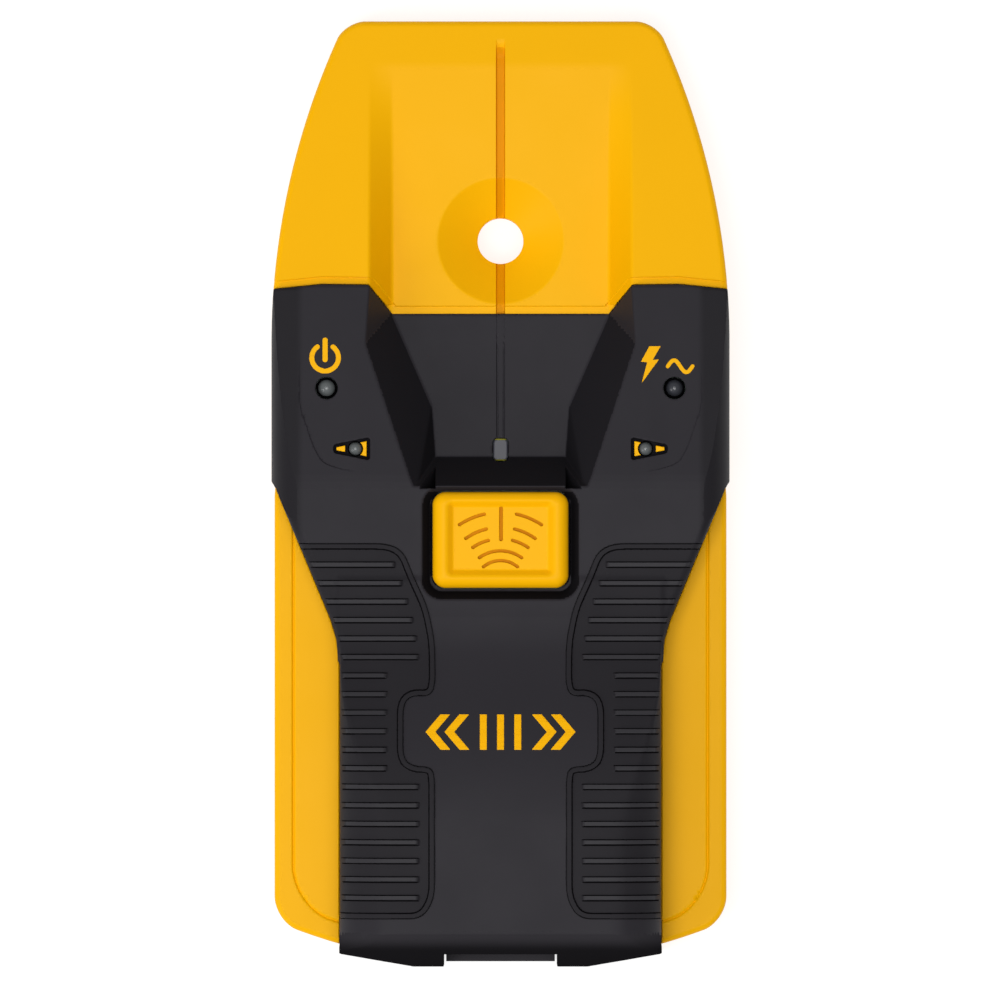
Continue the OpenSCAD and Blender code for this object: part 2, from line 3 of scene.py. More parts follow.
import bpy
import numpy as np
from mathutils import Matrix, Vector


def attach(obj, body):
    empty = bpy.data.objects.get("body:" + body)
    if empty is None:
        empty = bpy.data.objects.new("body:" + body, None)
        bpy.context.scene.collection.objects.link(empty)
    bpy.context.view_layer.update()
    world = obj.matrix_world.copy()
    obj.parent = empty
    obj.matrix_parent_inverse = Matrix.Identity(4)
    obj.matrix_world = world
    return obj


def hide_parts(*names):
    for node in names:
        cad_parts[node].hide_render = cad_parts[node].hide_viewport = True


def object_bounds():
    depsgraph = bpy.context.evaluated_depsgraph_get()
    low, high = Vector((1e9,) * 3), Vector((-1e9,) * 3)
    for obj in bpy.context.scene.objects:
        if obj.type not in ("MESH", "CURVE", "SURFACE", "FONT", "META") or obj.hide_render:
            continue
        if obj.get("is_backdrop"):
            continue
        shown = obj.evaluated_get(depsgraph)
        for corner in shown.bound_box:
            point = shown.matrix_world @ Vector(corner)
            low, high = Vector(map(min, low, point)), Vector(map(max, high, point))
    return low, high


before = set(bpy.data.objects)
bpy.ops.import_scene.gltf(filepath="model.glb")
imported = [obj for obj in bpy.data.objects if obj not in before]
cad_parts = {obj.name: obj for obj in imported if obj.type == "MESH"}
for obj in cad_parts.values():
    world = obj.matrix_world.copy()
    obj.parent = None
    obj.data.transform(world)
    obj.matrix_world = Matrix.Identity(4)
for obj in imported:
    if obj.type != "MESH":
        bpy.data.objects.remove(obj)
cad_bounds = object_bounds()

MM = 0.001

# ---------------------------------------------------------------- sizes in millimetres

CASE_TOP = 82.6
CASE_HALF = 40.0
FLANGE_HALF = 39.5
HEEL_CUT = -80.5
HEEL_FACE_Y = -76.8
WALL = 2.0
FRONT_WALL = 3.8
SPLIT_Z = 6.0
SEAT_Z = 13.0
FLANGE_Z = 15.0
HEAD_EDGE_Z = 12.0
SHOULDER_RISE = 0.17
GAP = 0.1

FLOOR_Z = 13.3
FLOOR_HALF = 19.0
CHANNEL_HALF = 22.9
HOLE_Y = 44.2
HOLE_R = 4.0
DISH_R = 11.0
DISH_Z = 9.3
BLACK_FRONT_Y = 31.4
CHANNEL_END_Y = 6.4

HANDLE_HALF = 28.17
HANDLE_Z = 34.8
DECK_Z = 25.5
WING_FRONT_Z = 20.9
NOTCH_HALF = 9.87
PAD_DEPTH = 1.0
PAD_SEAT_Z = 16.0
RIB_COUNT = 19
RIB_PITCH = 3.22
RIB_FIRST_Y = -12.4

BUTTON_W = 23.7
BUTTON_L = 16.75
BUTTON_Y = -8.1
BUTTON_R = 2.3
BUTTON_GAP = 0.25
BUTTON_TOP_Z = DECK_Z + 0.8
RECESS_HALF = 13.5
RECESS_Y = (-18.3, 1.3)
RECESS_Z = DECK_Z - 1.4
RECESS_FLOOR_Z = 22.7
RECESS_WALL = 1.4

LED_X = 30.35
LED_Y = 18.4
ARROW_Y = 7.8
ARROW_LED_X = 25.3
ARROW_TOP_Z = 24.37
LENS_Y = 7.65
CASE_SCREWS = ((25.0, 74.0), (33.5, -66.0))
BOARD_SCREWS = ((27.0, 58.0), (30.0, -10.0))
DISPLAY_SCREWS = ((31.5, 27.0), (22.0, -14.0))
LIGHT_HOLE_R = 1.95

BAY_Y = (-74, -20)
DOOR_HALF = 13.2
DOOR_END_Y = -20.1
TONGUE_HALF = 14.7
TONGUE_TOP_Z = 2.3
DOOR_PAD_HALF = 9.4


# ---------------------------------------------------------------- distance fields, negative inside

def ramp(v, start, end):
    """0 before start, 1 after end, smooth between them."""
    t = np.clip((v - start) / (end - start), 0, 1)
    return t * t * (3 - 2 * t)


def smooth_min(a, b, k):
    h = np.clip(0.5 + 0.5 * (b - a) / k, 0, 1)
    return b + (a - b) * h - k * h * (1 - h)


def smooth_max(a, b, k):
    return -smooth_min(-a, -b, k)


def every(*fields):
    """What lies in all the fields, with sharp edges."""
    total = fields[0]
    for f in fields[1:]:
        total = np.maximum(total, f)
    return total


def between(v, low, high):
    return np.maximum(low - v, v - high)


def round_and(a, b, r):
    """What lies in both a and b, with an outer edge of radius r."""
    return np.minimum(np.maximum(a, b), -r) + np.hypot(np.maximum(a + r, 0), np.maximum(b + r, 0))


def cut(body, tool, r=0.0):
    """body without tool, with an edge of radius r."""
    return round_and(body, -tool, r) if r else np.maximum(body, -tool)


def rounded_box(x, y, half_x, half_y, r):
    u, v = np.abs(x) - half_x + r, np.abs(y) - half_y + r
    return np.hypot(np.maximum(u, 0), np.maximum(v, 0)) + np.minimum(np.maximum(u, v), 0) - r


def segment(x, y, a, b, r):
    """A line from a to b with round ends of radius r."""
    dx, dy = b[0] - a[0], b[1] - a[1]
    t = np.clip(((x - a[0]) * dx + (y - a[1]) * dy) / (dx * dx + dy * dy), 0, 1)
    return np.hypot(x - a[0] - dx * t, y - a[1] - dy * t) - r


def arc_line(x, y, centre, radius, start, end, r):
    """An arc from start to end, in degrees clockwise from +Y on either side, with round ends."""
    u, v = np.abs(x - centre[0]), y - centre[1]
    near = np.radians(np.clip(np.degrees(np.arctan2(u, v)), start, end))
    return np.hypot(u - radius * np.sin(near), v - radius * np.cos(near)) - r


def cylinder(x, y, z, at, r, low, high):
    return np.maximum(np.hypot(x - at[0], y - at[1]) - r, between(z, low, high))


def polygon_distance(points, u, v):
    """The signed distance to a closed outline."""
    starts = np.asarray(points, float)
    ends = np.roll(starts, -1, axis=0)
    nearest = np.full(np.broadcast(u, v).shape, np.inf)
    inside = np.zeros(nearest.shape, bool)
    for (au, av), (bu, bv) in zip(starts, ends):
        du, dv = bu - au, bv - av
        t = np.clip(((u - au) * du + (v - av) * dv) / (du * du + dv * dv), 0, 1)
        nearest = np.minimum(nearest, (u - au - du * t) ** 2 + (v - av - dv * t) ** 2)
        if dv:
            inside ^= ((av > v) != (bv > v)) & (u < du * (v - av) / dv + au)
    return np.where(inside, -1, 1) * np.sqrt(nearest)


def rounded(points, reach):
    """An outline whose corners are curves that start at most reach before each corner."""
    p = np.asarray(points, float)
    result = []
    for before, here, after in zip(np.roll(p, 1, axis=0), p, np.roll(p, -1, axis=0)):
        back, on = before - here, after - here
        a = here + back * min(0.48, reach / np.linalg.norm(back))
        b = here + on * min(0.48, reach / np.linalg.norm(on))
        for t in np.linspace(0, 1, 6):
            result.append((1 - t) ** 2 * a + 2 * t * (1 - t) * here + t * t * b)
    return result


def outline_field(points, step=0.1):
    """The signed distance to an outline of the right half, looked up between the lines of a fine grid."""
    us = np.arange(-2, 44, step)
    vs = np.arange(-86, 42, step)
    table = polygon_distance(points, us[:, None], vs[None, :])

    def field(u, v):
        i = np.clip((u - us[0]) / step, 0, len(us) - 1.001)
        j = np.clip((v - vs[0]) / step, 0, len(vs) - 1.001)
        i0, j0 = i.astype(int), j.astype(int)
        i, j = i - i0, j - j0
        return ((table[i0, j0] * (1 - i) + table[i0 + 1, j0] * i) * (1 - j)
                + (table[i0, j0 + 1] * (1 - i) + table[i0 + 1, j0 + 1] * i) * j)

    return field


def above_plane(x, y, z, point, heading, slope):
    """Above a plane through point that climbs towards heading."""
    h, s = math.radians(heading), math.radians(slope)
    along = (x - point[0]) * math.cos(h) + (y - point[1]) * math.sin(h)
    return along * math.sin(s) - (z - point[2]) * math.cos(s)


def shoulder_edge(across, up, flat, half, top, drop):
    """A body with a flat top whose shoulder falls along a quarter ellipse."""
    a, b = half - flat, drop
    u = np.maximum(across - flat, 0) / a
    v = np.maximum(up - (top - drop), 0) / b
    q = np.maximum(np.hypot(u, v), 1e-6)
    steep = np.maximum(np.hypot(u / a, v / b) / q, 0.05)
    return every((q - 1) / steep, across - half, up - top)


# ---------------------------------------------------------------- outlines

wing_half = outline_field([
    (-20, -29.1), (HANDLE_HALF, -29.1), (28.6, -25.6), (29.65, -22.1), (38.4, -1.1), (39.2, 0.9), (41, 3),
    (41, 35.5), (31.2, 36.5), (23.1, 36.4), (18.9, BLACK_FRONT_Y), (-20, BLACK_FRONT_Y)])
handle_half = outline_field([
    (-20, -CASE_TOP), (15.2, -CASE_TOP), (21.7, -81.5), (HANDLE_HALF, -80.3), (HANDLE_HALF, -15), (-20, -15)])
pad_half = outline_field(rounded([
    (43, -74.1), (43, -8.65), (19.5, -8.65), (16.75, -10.2), (15.3, -14), (12.6, -19.9), (11.4, -25.8),
    (11.3, -33.5), (12.3, -35.4), (15.3, -35.2), (16.9, -36.6), (16.9, -46), (15.3, -47.4), (12.3, -47.5),
    (11.4, -48.8), (11.4, -70.5), (13.6, -74.1)], 2.2))
panel_half = outline_field(rounded([
    (24.5, 31), (35, 29), (35, 15), (32.6, 8), (31.0, 5.2), (26.5, 3.9), (19, 3.9), (24.5, 22)], 1.5))


def curve(p0, p1, p2, p3, n):
    """n points on a cubic Bezier curve."""
    t = np.linspace(0, 1, n)[:, None]
    p0, p1, p2, p3 = (np.array(p, float) for p in (p0, p1, p2, p3))
    return (1 - t) ** 3 * p0 + 3 * (1 - t) ** 2 * t * p1 + 3 * (1 - t) * t * t * p2 + t ** 3 * p3


climb = curve((-60, HANDLE_Z), (-42, HANDLE_Z - 0.2), (-32, DECK_Z + 0.3), (-19, DECK_Z), 60)
BACK_LINE = np.vstack([(-200, HANDLE_Z), climb, (2, DECK_Z), (60, WING_FRONT_Z - 3.1)])


def back_height(y):
    """The height of the black cover's back."""
    return sum(np.interp(y + d, BACK_LINE[:, 0], BACK_LINE[:, 1]) for d in (-1.2, 0, 1.2)) / 3


def case_outline(x, y):
    """The yellow case, seen from the front."""
    ax = np.abs(x)
    half = FLANGE_HALF + (CASE_HALF - FLANGE_HALF) * ramp(y, 1.2, 2.2)
    side = np.where(y > 26, np.hypot(ax + 91, y - 26) - 131, ax - half)
    return round_and(round_and(side, y - CASE_TOP, 3.2), np.hypot(x, y - 19.3) - 102, 4)


def black_outline(x, y):
    """The black cover's wings and handle, seen from the front."""
    ax = np.abs(x)
    return smooth_min(wing_half(ax, y), handle_half(ax, y), 0.6)


def shoulder(y):
    """The height of the head's sides, which rise towards the wings."""
    return HEAD_EDGE_Z + SHOULDER_RISE * (CASE_TOP - y)


def wing_channel(x, y, z):
    """The marking channel between the black wings."""
    ax = np.abs(x)
    corner = (FLOOR_HALF, BLACK_FRONT_Y, FLOOR_Z)
    wide = smooth_max(above_plane(ax, y, z, corner, 0, 63), above_plane(ax, y, z, corner, -23.4, 55), 0.2)
    narrow = above_plane(ax, y, z, (12, 14.8, FLOOR_Z), -4, 73)
    end = above_plane(x, y, z, (0, CHANNEL_END_Y, FLOOR_Z), -90, 67)
    main = smooth_max(smooth_max(smooth_min(wide, narrow, 0.2), end, 0.3), FLOOR_Z - z, 0.3)
    slot = every(above_plane(ax, y, z, (11.4, 1, 17.4), 0, 72), narrow, 11.35 - ax, 0.9 - y,
                 ax - 13.9 - 0.18 * np.maximum(y + 2, 0))
    return np.minimum(main, slot)


# ---------------------------------------------------------------- the yellow front housing

def head_surface(x, y):
    """The height of the housing's face, with the channel, the dish and the centre groove."""
    ax = np.abs(x)
    side = np.where(y > 33, shoulder(y), FLANGE_Z)
    low = smooth_min(shoulder(y), FLOOR_Z, 0.12)
    t = (ax - FLOOR_HALF) / (CHANNEL_HALF - FLOOR_HALF)
    t = smooth_min(smooth_max(t, 0, 0.1), 1, 0.1)
    z = low + (side - low) * t
    r = np.hypot(x, y - HOLE_Y)
    z = smooth_min(z, DISH_Z + (r - HOLE_R) * (FLOOR_Z - DISH_Z) / (DISH_R - HOLE_R), 0.15)
    groove = (1 - ramp(ax, 0.66, 0.8)) * (1 - ramp(y, 76, 79.6))
    rim = (1 - ramp(black_outline(x, y), 1.25, 1.45)) * ramp(y, 20, 30)
    return z - 1.4 * groove - 0.35 * rim * (1 - groove)


def flange_line(x, y):
    """The line engraved along the flanges and round the heel's corners."""
    loop = round_and(np.abs(x) - FLANGE_HALF + 3.3, np.hypot(x, y - 19.3) - 98.3, 6.5)
    return np.exp(-(loop / 0.2) ** 2) * (1 - ramp(y, -6, 4))


def housing(x, y, z):
    """The front housing: a hollow shell with screw posts, the cover's bed and the marking hole's tube."""
    ax = np.abs(x)
    outline = case_outline(x, y)
    wing, handle = wing_half(ax, y), handle_half(ax, y)
    black = smooth_min(wing, handle, 0.6)
    top = head_surface(x, y)
    body = round_and(outline, (z - top + 0.3 * flange_line(x, y)) * 0.98, 1.0)
    body = every(round_and(body, SPLIT_Z + 0.03 - z, 0.3), HEEL_CUT - y)
    wall = np.where((y > -4) & (y < 39), FRONT_WALL, WALL)
    ceiling = np.where(y > 39, top - WALL, 11.2)
    body = cut(body, every(outline + wall, z - ceiling, HEEL_CUT + WALL - y))
    body = cut(body, every(black + 4, 11 - z))
    for at in CASE_SCREWS:
        body = np.minimum(body, cylinder(ax, y, z, at, 3.2, SPLIT_Z, 11.5))
    body = cut(body, every(black - GAP, SEAT_Z - z), 0.1)
    body = cut(body, every(wing - GAP, -(outline + WALL + GAP)))
    r = np.hypot(x, y - HOLE_Y)
    funnel = (r - 6 - np.maximum(z - 5.4, 0) * 1.19) * 0.64
    body = np.minimum(body, every(funnel, z - top, 0.02 - z))
    body = np.maximum(body, HOLE_R - r)
    for at in CASE_SCREWS:
        body = cut(body, cylinder(ax, y, z, at, 1.25, 0, 11))
    return body


# ---------------------------------------------------------------- the black grip cover

def cover_skin(x, y, z):
    """The cover's outside, before anything is cut into it."""
    ax = np.abs(x)
    line = (z - back_height(y)) * 0.97
    edge = 0.4 + 1.2 * ramp(-y, -8, 0)
    wing = round_and(np.maximum(wing_half(ax, y), case_outline(x, y)), line, edge)
    wing = np.maximum(wing, shoulder_edge(ax, z, 34, CASE_HALF, DECK_Z + 0.2, 7.2))
    heel = (-y - 79) * 0.947 + (z - HANDLE_Z + 2.2) * 0.322
    handle = round_and(handle_half(ax, y), line, 0.6)
    handle = round_and(handle, heel, 2.0)
    handle = smooth_max(handle, shoulder_edge(ax, z, 18, HANDLE_HALF, HANDLE_Z + 0.2, 9), 0.5)
    return smooth_min(wing, handle, 1.2)


def cover_face(x, y, z):
    """The skin with the panels around the lights, which sink in towards their outer sides."""
    ax = np.abs(x)
    depth = 0.22 * ramp(ax, 25, 30) * ramp(-y, -28, -8)
    return cover_skin(x, y, z) + depth * ramp(-panel_half(ax, y), -0.1, 0.1)


def arrow(ax, y, grow):
    """The arrow's outline, which narrows outwards to a blunt tip."""
    tip, base, tip_half, half = 28.95, 23.0, 0.55, 1.75
    edge = np.abs(y - ARROW_Y) - half + (ax - base) * (half - tip_half) / (tip - base)
    return round_and(edge * 0.98, np.maximum(base - ax, ax - tip), 0.35) - grow


def cover(x, y, z):
    """The grip cover: a hollow skin that also holds the end of the marking channel."""
    ax = np.abs(x)
    skin = cover_skin(x, y, z)
    outline = case_outline(x, y)
    wing = wing_half(ax, y)
    channel = wing_channel(x, y, z)
    body = np.maximum(cover_face(x, y, z), SEAT_Z - z)
    body = np.minimum(body, every(skin, wing, SPLIT_Z + GAP - z, -(outline + WALL)))
    outside_case = GAP - np.maximum(outline, HEEL_CUT - y)
    body = np.minimum(body, every(handle_half(ax, y), between(z, 0.6, 20), outside_case))

    inner = every(skin + WALL, -(channel - WALL), -78.2 - y)
    under_recess = between(y, RECESS_Y[0] - RECESS_WALL, RECESS_Y[1])
    inner = cut(inner, every(ax - RECESS_HALF - RECESS_WALL, RECESS_Z - WALL - z, under_recess))
    for at in DISPLAY_SCREWS:
        inner = cut(inner, cylinder(ax, y, z, at, 2.4, 15.2, 60))
    body = cut(body, inner)
    body = np.minimum(body, every(channel - WALL, between(z, FLOOR_Z - WALL, SEAT_Z + 0.02), wing + 4.8))
    body = cut(body, channel, 0.25)

    # The button's recess, and the openings for the button, the lights, the arrows and the centre lens.
    middle = sum(RECESS_Y) / 2
    recess = rounded_box(x, y - middle, RECESS_HALF + 0.1, RECESS_Y[1] - middle, 3.4)
    recess = (recess + (DECK_Z - z) * 0.45) * 0.912
    body = cut(body, smooth_max(recess, RECESS_FLOOR_Z - z, 0.2), 0.35)
    opening = rounded_box(x, y - BUTTON_Y, BUTTON_W / 2, BUTTON_L / 2, BUTTON_R) - BUTTON_GAP
    body = cut(body, every(opening, 15 - z))
    body = cut(body, every(np.hypot(ax - LED_X, y - LED_Y) - LIGHT_HOLE_R, 14 - z), 0.12)
    window = np.minimum(arrow(ax, y, 0.25), np.hypot(ax - ARROW_LED_X, y - ARROW_Y) - 1.25)
    body = cut(body, every(window, 15 - z), 0.08)
    body = cut(body, rounded_box(x, y - LENS_Y, 1.4, 2.05, 0.85), 0.08)

    # The two fine lines along the channel, the door's notch and rails, the beds of the pads, the screw holes.
    line_depth = 0.15 - 0.09 * ramp(y, 25.5, 26.5)
    body = cut(body, every(np.abs(ax - 0.6) - 0.11, FLOOR_Z - line_depth - z, 9.6 - y))
    body = cut(body, every(ax - NOTCH_HALF, y + 80.3), 0.25)
    body = cut(body, every(ax - TONGUE_HALF, y - DOOR_END_Y, z - TONGUE_TOP_Z))
    body = cut(body, every(pad_half(ax, y), -(skin + PAD_DEPTH), PAD_SEAT_Z - z))
    for at in DISPLAY_SCREWS:
        body = cut(body, cylinder(ax, y, z, at, 0.9, 10, 19.2))
    return body


# ---------------------------------------------------------------- grip pads and button

def rib_start(y):
    """Where a rib starts, from the middle of the handle."""
    far = 14.1 + 4.2 * np.clip((y + 30) / 17.6, 0, None) ** 1.7
    return np.where(y > -30, far, np.where(y > -49.5, 19.7, 14.1))


def pad(x, y, z):
    """A grip pad: a skin in the cover's bed, a band along its edge and raised ribs."""
    ax = np.abs(x)
    shape = pad_half(ax, y)
    nearest = np.clip(np.round((RIB_FIRST_Y - y) / RIB_PITCH), 0, RIB_COUNT - 1)
    rib_y = RIB_FIRST_Y - nearest * RIB_PITCH
    below = rib_y - y
    crest = (1 - ramp(-below, 0.34, 0.56)) * (1 - ramp(below, 0.3, 0.66))
    rib = crest * ramp(ax - rib_start(rib_y), -0.2, 0.7)
    band = 1 - ramp(-shape, 0.9, 1.2)
    inland = ramp(-black_outline(x, y), 0.1, 1.3)
    lift = inland * np.maximum(0.5 * rib, 0.36 * band) - 0.07
    skin = cover_skin(x, y, z)
    body = round_and(shape + 0.14, skin - lift, 0.12)
    return every(body, -(skin + PAD_DEPTH - 0.03), PAD_SEAT_Z + 0.05 - z)


def button(x, y, z):
    """The button: a hollow cap with a dished face, signal arcs and a flange that holds it in."""
    v = y - BUTTON_Y
    outline = rounded_box(x, v, BUTTON_W / 2, BUTTON_L / 2, BUTTON_R)
    body = round_and(outline, z - BUTTON_TOP_Z + 0.02, 2.0)
    dish = rounded_box(x, v - 0.25, 9.4, 6.6, 1.2)
    slope = (dish + (BUTTON_TOP_Z - z) * 1.1) * 0.67
    body = cut(body, smooth_max(slope, BUTTON_TOP_Z - 1.0 - z, 0.15), 0.3)
    flange = every(rounded_box(x, v, BUTTON_W / 2 + 1.3, BUTTON_L / 2 - 0.5, 1), between(z, 20.7, 21.8))
    body = np.minimum(np.maximum(body, 20.7 - z), flange)
    inside = every(rounded_box(x, v, BUTTON_W / 2 - 1.6, BUTTON_L / 2 - 1.6, 1), z - BUTTON_TOP_Z + 2.4)
    body = cut(body, np.maximum(inside, 3 - np.hypot(x, v)))
    mark = segment(x, y, (0.1, -2.6), (0.1, -8.0), 0.32)
    waves = ((13.0, 12.5, 33.4), (10.4, 13.7, 35.5), (8.4, 14.5, 35.0), (6.3, 0, 35.7), (4.6, 0, 40.0))
    for radius, start, end in waves:
        mark = np.minimum(mark, arc_line(x, y, (0, -16.3), radius, start, end, 0.28))
    return cut(body, np.maximum(mark, BUTTON_TOP_Z - 1.75 - z), 0.05)


def lens(x, y, z):
    """The light guide at the end of the channel."""
    outline = rounded_box(x, y - LENS_Y, 1.3, 1.95, 0.8)
    return every(round_and(outline, z - FLOOR_Z - 0.25, 0.35), 10.9 - z)


def arrow_insert(x, y, z):
    """An arrow in its window, with a hole for the light and a gap before its tip."""
    ax = np.abs(x)
    body = round_and(arrow(ax, y, -0.35), z - ARROW_TOP_Z, 0.15)
    flange = every(rounded_box(ax - 25.6, y - ARROW_Y, 4, 3, 1), z - ARROW_TOP_Z + 2.25)
    body = every(np.minimum(body, flange), ARROW_TOP_Z - 3.15 - z)
    body = cut(body, np.hypot(ax - ARROW_LED_X, y - ARROW_Y) - 1.35, 0.08)
    before_tip = every(between(ax, ARROW_LED_X, 27.1), np.abs(y - ARROW_Y) - 1.6)
    return cut(body, every(before_tip, ARROW_TOP_Z - 2.2 - z))


# ---------------------------------------------------------------- the rear cover

def rear(x, y, z):
    """The rear cover: a tray with the door's rails and the walls of the battery bay."""
    ax = np.abs(x)
    outline = case_outline(x, y)
    body = round_and(round_and(outline, -z, 0.8), z - SPLIT_Z + 0.03, 0.25)
    body = cut(body, every(outline + WALL, WALL - z))
    body = np.minimum(body, cylinder(x, y, z, (0, HOLE_Y), 8, 1, 3.6))
    for at in CASE_SCREWS:
        body = np.minimum(body, every(cylinder(ax, y, z, at, 4.5, 1, SPLIT_Z), outline + 0.5))
    for at in BOARD_SCREWS:
        body = np.minimum(body, cylinder(ax, y, z, at, 2.6, 1, 4))
    bay = between(y, *BAY_Y)
    rail = every(between(ax, DOOR_HALF + 0.4, 16.5), between(z, 1, TONGUE_TOP_Z + 1))
    bay_wall = every(between(ax, TONGUE_HALF, 16.5), between(z, 1, 12))
    end_wall = every(ax - 15, between(y, BAY_Y[0], BAY_Y[0] + 1.4), between(z, 3.8, 12))
    body = np.minimum(body, every(np.minimum(rail, bay_wall), bay))
    body = np.minimum(body, end_wall)
    body = np.maximum(body, np.maximum(HEEL_CUT - y, 6.2 - np.hypot(x, y - HOLE_Y)))
    for at in CASE_SCREWS:
        reach = np.hypot(ax - at[0], y - at[1])
        body = np.maximum(cut(body, every(reach - 2.9, z - 3.5), 0.2), 1.5 - reach)
    for at in BOARD_SCREWS:
        body = cut(body, cylinder(ax, y, z, at, 1, WALL, 9))
    body = cut(body, every(ax - DOOR_HALF, y - DOOR_END_Y, z - 1), 0.15)
    body = cut(body, every(ax - TONGUE_HALF, y - DOOR_END_Y, between(z, 0.9, TONGUE_TOP_Z)))
    return cut(body, every(ax - DOOR_PAD_HALF, y - BAY_Y[0], between(z, 2, 3.8)))


# ---------------------------------------------------------------- fields to meshes

def steps(low, high, step, fine=()):
    """Grid lines from low to high, closer together inside each (low, high, step) of fine."""
    lines = [low]
    while lines[-1] < high:
        here = lines[-1]
        lines.append(here + min([step] + [s for a, b, s in fine if a - step < here < b]))
    return np.array(lines)


def mirrored(lines):
    """Grid lines that start near 0, on both sides of it."""
    return np.concatenate([-lines[::-1], lines])


def in_chunks(work, p, size=30000):
    """The result of work on the points p, a part of them at a time to save memory."""
    return np.concatenate([work(p[i:i + size]) for i in range(0, max(len(p), 1), size)])


def sample(field, p):
    return in_chunks(lambda q: field(q[:, 0], q[:, 1], q[:, 2]), p)


def directions(field, p, e=0.015):
    """The way out of the body at each point."""
    def work(q):
        total = np.zeros_like(q)
        for corner in ((1, 1, 1), (1, -1, -1), (-1, 1, -1), (-1, -1, 1)):
            c = np.array(corner)
            m = q + e * c
            total += field(m[:, 0], m[:, 1], m[:, 2])[:, None] * c
        return total / np.maximum(np.linalg.norm(total, axis=1, keepdims=True), 1e-12)
    return in_chunks(work, p)


def crossings(field, lines, values, axis):
    """The grid edges along axis that cross the surface: starts, points on the surface, directions there."""
    low, high = [slice(None)] * 3, [slice(None)] * 3
    low[axis], high[axis] = slice(0, -1), slice(1, None)
    inside = values < 0
    at = np.argwhere(inside[tuple(low)] != inside[tuple(high)])
    far = at.copy()
    far[:, axis] += 1
    a, b = values[tuple(at.T)].astype(float), values[tuple(far.T)].astype(float)
    p = np.stack([lines[d][at[:, d]] for d in range(3)], 1)
    start, end = p[:, axis].copy(), lines[axis][far[:, axis]]
    for _ in range(2):
        here = start + (end - start) * np.clip(a / (a - b), 0.02, 0.98)
        p[:, axis] = here
        value = sample(field, p)
        same = (value < 0) == (a < 0)
        start, a = np.where(same, here, start), np.where(same, value, a)
        end, b = np.where(same, end, here), np.where(same, b, value)
    p[:, axis] = start + (end - start) * (a / (a - b))
    return at, inside[tuple(at.T)], p, directions(field, p)


def surface(field, xs, ys, zs):
    """The field's zero surface as vertices and quads. Each cell's vertex sits where the cell's surface
    directions agree, so sharp edges stay sharp."""
    values = np.empty((len(xs), len(ys), len(zs)), np.float32)
    for i, x in enumerate(xs):
        values[i] = field(x, ys[:, None], zs[None, :])
    inside = values < 0
    count = np.zeros([n - 1 for n in values.shape], np.int8)
    for i in (0, 1):
        for j in (0, 1):
            for k in (0, 1):
                count += inside[i:len(xs) - 1 + i, j:len(ys) - 1 + j, k:len(zs) - 1 + k]
    crossed = (count > 0) & (count < 8)
    cells = np.argwhere(crossed)
    index = np.full(crossed.shape, -1, np.int64)
    index[crossed] = np.arange(len(cells))
    sums = np.zeros((13, len(cells)))
    lines, quads = (xs, ys, zs), []
    for axis in range(3):
        b, c = (axis + 1) % 3, (axis + 2) % 3
        at, out, p, n = crossings(field, lines, values, axis)
        d = (n * p).sum(1)
        terms = [n[:, i] * n[:, j] for i in range(3) for j in range(i, 3)]
        terms += [n[:, i] * d for i in range(3)] + [p[:, i] for i in range(3)] + [np.ones(len(p))]
        corners = []
        whole = np.ones(len(at), bool)
        for db, dc in ((1, 1), (0, 1), (0, 0), (1, 0)):
            cell = at.copy()
            cell[:, b] -= db
            cell[:, c] -= dc
            ok = ((cell[:, b] >= 0) & (cell[:, c] >= 0) & (cell[:, b] < crossed.shape[b])
                  & (cell[:, c] < crossed.shape[c]))
            whole &= ok
            cell[~ok] = 0
            found = index[tuple(cell.T)]
            corners.append(found)
            for row, term in zip(sums, terms):
                row += np.bincount(found[ok], weights=term[ok], minlength=len(cells))
        quad = np.stack(corners, 1)[whole]
        out = out[whole]
        quad[~out] = quad[~out][:, ::-1]
        quads.append(quad)
    hits = sums[12]
    centre = (sums[9:12] / hits).T
    a = sums[[0, 1, 2, 1, 3, 4, 2, 4, 5]].T.reshape(-1, 3, 3)
    right = sums[6:9].T - (a @ centre[:, :, None])[:, :, 0]
    a = a + (0.02 * hits)[:, None, None] * np.eye(3)
    vertices = centre + np.linalg.solve(a, right[:, :, None])[:, :, 0]
    for d in range(3):
        vertices[:, d] = np.clip(vertices[:, d], lines[d][cells[:, d]], lines[d][cells[:, d] + 1])
    return vertices, np.concatenate(quads)


def add_object(name, mesh):
    obj = bpy.data.objects.new(name, mesh)
    bpy.context.scene.collection.objects.link(obj)
    return obj


def quad_mesh(name, vertices, quads):
    """A mesh from vertices in millimetres and rows of four vertex numbers."""
    mesh = bpy.data.meshes.new(name)
    mesh.vertices.add(len(vertices))
    mesh.vertices.foreach_set("co", (vertices * MM).astype(np.float32).ravel())
    mesh.loops.add(quads.size)
    mesh.loops.foreach_set("vertex_index", quads.astype(np.int32).ravel())
    mesh.polygons.add(len(quads))
    mesh.polygons.foreach_set("loop_start", np.arange(0, quads.size, 4, dtype=np.int32))
    mesh.update(calc_edges=True)
    return mesh


def read(items, name, kind, width=1):
    """One attribute of every item, as an array."""
    values = np.empty(len(items) * width, kind)
    items.foreach_get(name, values)
    return values.reshape(-1, width) if width > 1 else values


